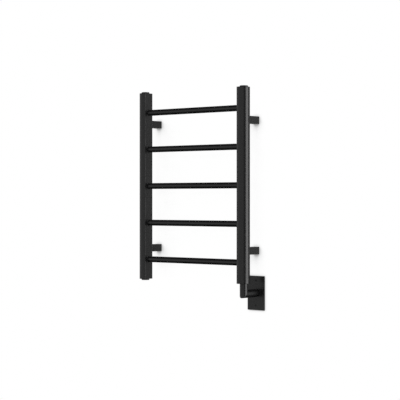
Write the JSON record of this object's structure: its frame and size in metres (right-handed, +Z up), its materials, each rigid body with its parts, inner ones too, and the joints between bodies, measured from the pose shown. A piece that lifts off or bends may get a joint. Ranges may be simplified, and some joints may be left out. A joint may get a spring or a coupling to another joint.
{
  "type": "towel warmer rack",
  "caption": "Wall-hung heated towel rack: D-section posts joined by round bars, square wall sleeves, and a supply tube into a cover plate.",
  "frame": {"origin": "centre of the four wall fixings, on the wall plane", "axes": "+Z up, front towards -Y, wall towards +Y, +X to the right seen from the front; the supply tube is on the +X side"},
  "size_m": [0.4906, 0.1256, 0.7459],
  "materials": {
    "satin_black": "satin powder coat",
    "black_screws": "blackened steel",
    "zinc_steel": "zinc plated",
    "nickel": "nickel plated",
    "stainless": "drawn stainless",
    "brass": "turned brass",
    "black_rubber": "matte",
    "grey_foam": "closed-cell foam",
    "cutout_white": "ceramic-filled plastic",
    "lead_black": "insulation",
    "lead_white": "insulation",
    "lead_green": "insulation",
    "tinned": "tinned copper"
  },
  "bodies": {
    "wall_fixings": {"wall_base_top_left": "zinc_steel", "wall_base_top_right": "zinc_steel", "wall_base_bottom_left": "zinc_steel", "wall_base_bottom_right": "zinc_steel"},
    "rack": {"post_left": "satin_black", "post_right": "satin_black", "bar_1": "satin_black", "bar_2": "satin_black", "bar_3": "satin_black", "bar_4": "satin_black", "bar_5": "satin_black", "end_plate_top_left": "satin_black", "end_plate_top_right": "satin_black", "end_plate_bottom_left": "satin_black", "end_plate_bottom_right": "satin_black", "sleeve_top_left": "satin_black", "sleeve_top_right": "satin_black", "sleeve_bottom_left": "satin_black", "sleeve_bottom_right": "satin_black", "plug_top_left": "satin_black", "plug_bottom_left": "satin_black", "vent_plug": "satin_black", "drop_tube": "satin_black", "wall_tube": "satin_black", "set_screw_top_left": "black_screws", "set_screw_top_right": "black_screws", "set_screw_bottom_left": "black_screws", "set_screw_bottom_right": "black_screws", "washer_top_left": "black_rubber", "washer_bottom_left": "black_rubber", "washer_vent": "black_rubber", "heater_washer": "black_rubber", "tube_bush": "black_rubber", "heater_rod": "stainless", "heater_head": "brass", "thermal_cutout": "cutout_white", "lead_live": "lead_black", "lead_neutral": "lead_white", "lead_earth": "lead_green", "ferrules": "tinned"},
    "cover": {"cover_plate": "satin_black", "plate_gasket": "grey_foam", "plate_screw_upper": "black_screws", "plate_screw_lower": "black_screws"},
    "vent": {"vent_screw": "nickel"}
  },
  "joints": [
    {"name": "rack_slide", "type": "slide", "parent": "wall_fixings", "child": "rack", "axis": [0, -1, 0], "range_m": [0, 0.015]},
    {"name": "cover_slide", "type": "slide", "parent": "wall_fixings", "child": "cover", "axis": [0, -1, 0], "range_m": [0, 0.04]},
    {"name": "vent_turn", "type": "hinge", "parent": "rack", "child": "vent", "pos_m": [0.218, -0.0708, 0.325], "axis": [0, 0, 1], "range_deg": [0, 180]}
  ]
}
